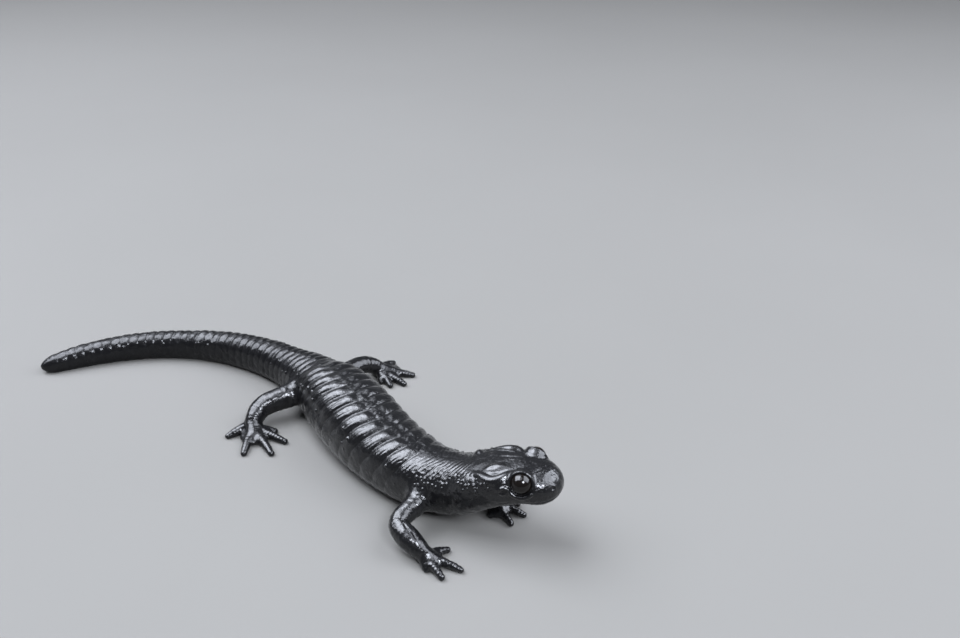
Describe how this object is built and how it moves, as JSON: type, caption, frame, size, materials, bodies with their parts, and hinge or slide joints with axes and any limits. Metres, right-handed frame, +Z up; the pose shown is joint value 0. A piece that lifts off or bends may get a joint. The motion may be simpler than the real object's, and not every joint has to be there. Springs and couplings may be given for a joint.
{
  "type": "alpine salamander",
  "caption": "Life-size alpine salamander at rest: head raised, ribbed trunk bent to one side, tail swept back in an arc, feet splayed on the floor, skin black and glossy.",
  "frame": {"origin": "on the floor, below the middle of the bounding box in plan", "axes": "+X is the longest extent, from the tail's tip towards the head; +Y is across it, towards the hips' and the tail's side; +Z is up from the floor"},
  "size_m": [0.0979, 0.0641, 0.0146],
  "materials": {
    "skin": "wet, glossy, deep black living skin with fine folds",
    "eye": "polished black, as of a wet eye with a black iris"
  },
  "bodies": {
    "root": {"head": "skin", "lower_jaw": "skin", "neck": "skin", "trunk_front": "skin", "trunk_rear": "skin", "pelvis": "skin", "tail_base": "skin", "tail_middle": "skin", "tail_end": "skin", "upper_arm_left": "skin", "forearm_left": "skin", "hand_left": "skin", "thigh_left": "skin", "shank_left": "skin", "foot_left": "skin", "upper_arm_right": "skin", "forearm_right": "skin", "hand_right": "skin", "thigh_right": "skin", "shank_right": "skin", "foot_right": "skin", "eye_left": "eye", "eye_right": "eye"}
  },
  "joints": []
}
